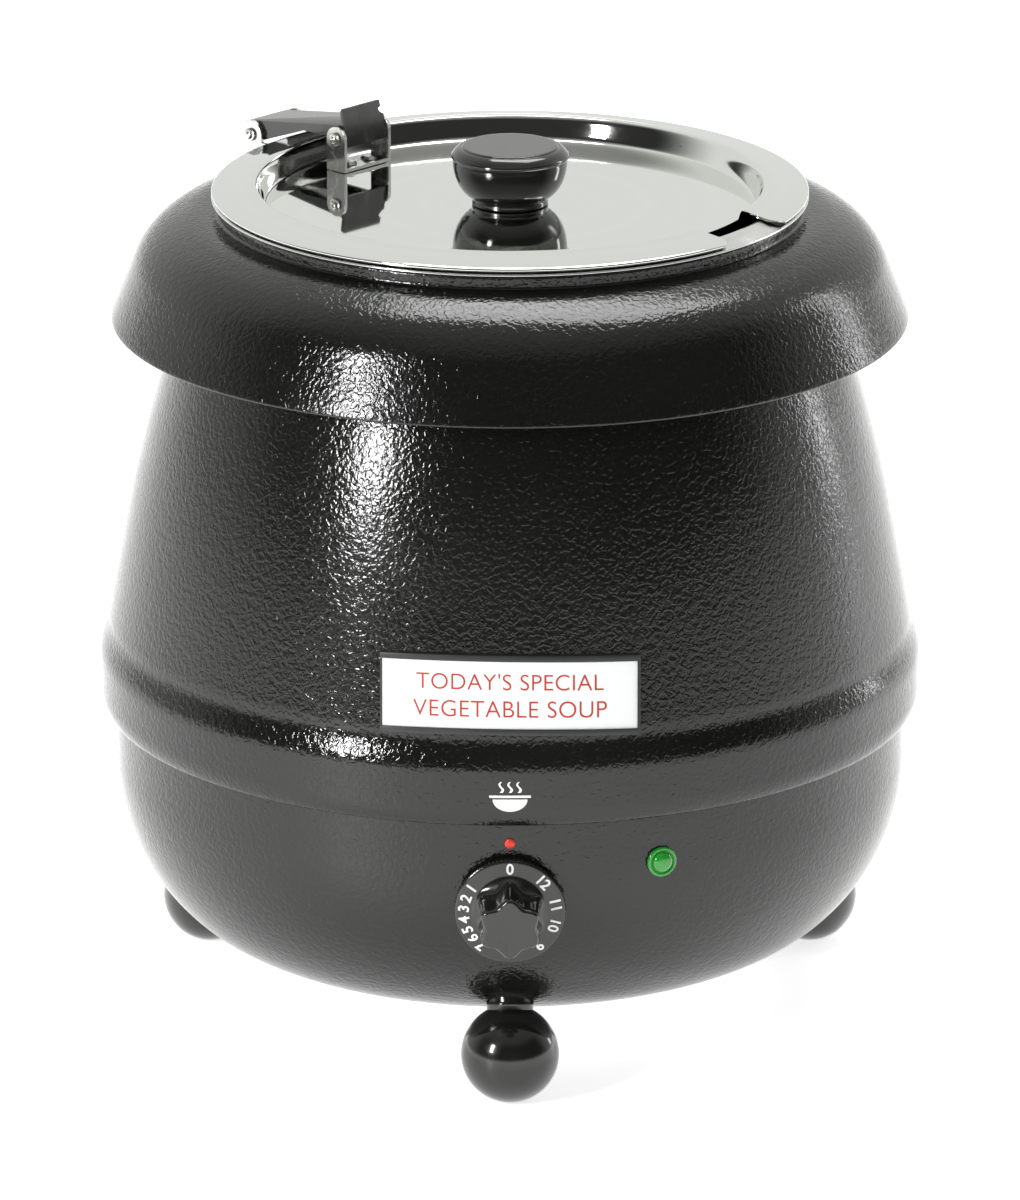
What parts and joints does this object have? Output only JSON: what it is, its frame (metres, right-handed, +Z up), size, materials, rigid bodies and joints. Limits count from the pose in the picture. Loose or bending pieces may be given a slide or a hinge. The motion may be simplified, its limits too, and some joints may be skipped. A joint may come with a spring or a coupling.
{
  "type": "soup kettle",
  "caption": "Electric soup kettle: black bulging casing on ball feet, lift-out stainless insert, hinged lid with a ladle slot and a temperature dial.",
  "frame": {"origin": "on the kettle's vertical axis, at the level of the surface that its three feet stand on", "axes": "+Z up; -Y towards the front, where the dial is; +X to the right of someone facing the dial"},
  "size_m": [0.3448, 0.3782, 0.3704],
  "materials": {
    "black_powder_coat": "fine textured powder coat, semi-gloss",
    "black_plastic": "glossy moulded phenolic",
    "black_knob": "satin to glossy moulded phenolic",
    "dark_trim": "moulded plastic",
    "black_paint": "gloss stove enamel",
    "polished_steel": "mirror polished stainless steel",
    "stainless_steel": "drawn and polished stainless steel",
    "satin_steel": "satin stainless steel",
    "zinc_steel": "zinc plated steel",
    "aluminium": "rolled sheet",
    "element_sheath": "drawn tube, heat tinted",
    "ivory_plastic": "moulded thermoset",
    "wire_sleeve": "silicone sleeve",
    "red_paint": "pad printed mark",
    "green_lens": "translucent moulded lens",
    "white_card": "laminated card"
  },
  "bodies": {
    "housing": {"bowl_shell": "black_powder_coat", "body_shell": "black_powder_coat", "collar": "black_powder_coat", "support_ring": "zinc_steel", "base_plate": "zinc_steel", "water_pan": "stainless_steel", "heat_spreader": "aluminium", "heating_element": "element_sheath", "clamp_plate": "zinc_steel", "clamp_nut": "zinc_steel", "thermal_cutout": "ivory_plastic", "sensor_bulb": "element_sheath", "terminal_block": "ivory_plastic", "lead_inlet": "wire_sleeve", "lead_element": "wire_sleeve", "lead_thermostat": "wire_sleeve", "foot_front": "black_plastic", "foot_left": "black_plastic", "foot_right": "black_plastic", "foot_bolt_front": "zinc_steel", "foot_bolt_left": "zinc_steel", "foot_bolt_right": "zinc_steel", "casing_bracket_1": "zinc_steel", "casing_bracket_2": "zinc_steel", "casing_bracket_3": "zinc_steel", "casing_screw_1": "zinc_steel", "casing_screw_2": "zinc_steel", "casing_screw_3": "zinc_steel", "base_screw_1": "zinc_steel", "base_screw_2": "zinc_steel", "base_screw_3": "zinc_steel", "thermostat_body": "ivory_plastic", "thermostat_nut": "zinc_steel", "pilot_lens": "green_lens", "pilot_lamp": "ivory_plastic", "pilot_lamp_clip": "zinc_steel", "index_dot": "red_paint", "label_holder": "dark_trim", "label_card": "white_card", "cable_gland": "black_plastic", "gland_nut": "black_plastic"},
    "insert_pot": {"insert_pot": "stainless_steel", "hinge_bracket": "satin_steel", "hinge_pin_rear": "satin_steel"},
    "hinge_link": {"hinge_link": "black_paint"},
    "lid": {"lid": "polished_steel", "lid_knob": "black_knob", "lid_knob_screw": "zinc_steel", "lid_knob_washer": "satin_steel", "lid_bracket": "satin_steel", "hinge_pin_front": "satin_steel", "lid_rivet_1": "satin_steel", "lid_rivet_2": "satin_steel"},
    "control_knob": {"control_knob": "black_knob", "thermostat_shaft": "zinc_steel"}
  },
  "joints": [
    {"name": "pot_lift", "type": "slide", "parent": "housing", "child": "insert_pot", "axis": [0, 0, 1], "range_m": [0, 0.27]},
    {"name": "lid_open", "type": "hinge", "parent": "insert_pot", "child": "hinge_link", "pos_m": [-0.1002, 0.09343, 0.35038], "axis": [-0.682, -0.7314, 0], "range_deg": [0, 80]},
    {"name": "lid_tilt", "type": "hinge", "parent": "hinge_link", "child": "lid", "pos_m": [-0.06363, 0.05933, 0.35748], "axis": [-0.682, -0.7314, 0], "range_deg": [0, 16]},
    {"name": "dial_turn", "type": "hinge", "parent": "housing", "child": "control_knob", "pos_m": [0, -0.1672, 0.0928], "axis": [0, 0.9986, 0.0523], "range_deg": [0, 313]}
  ],
  "couplings": [
    {"joint": "lid_tilt", "follows": "lid_open", "ratio": 0.2}
  ]
}
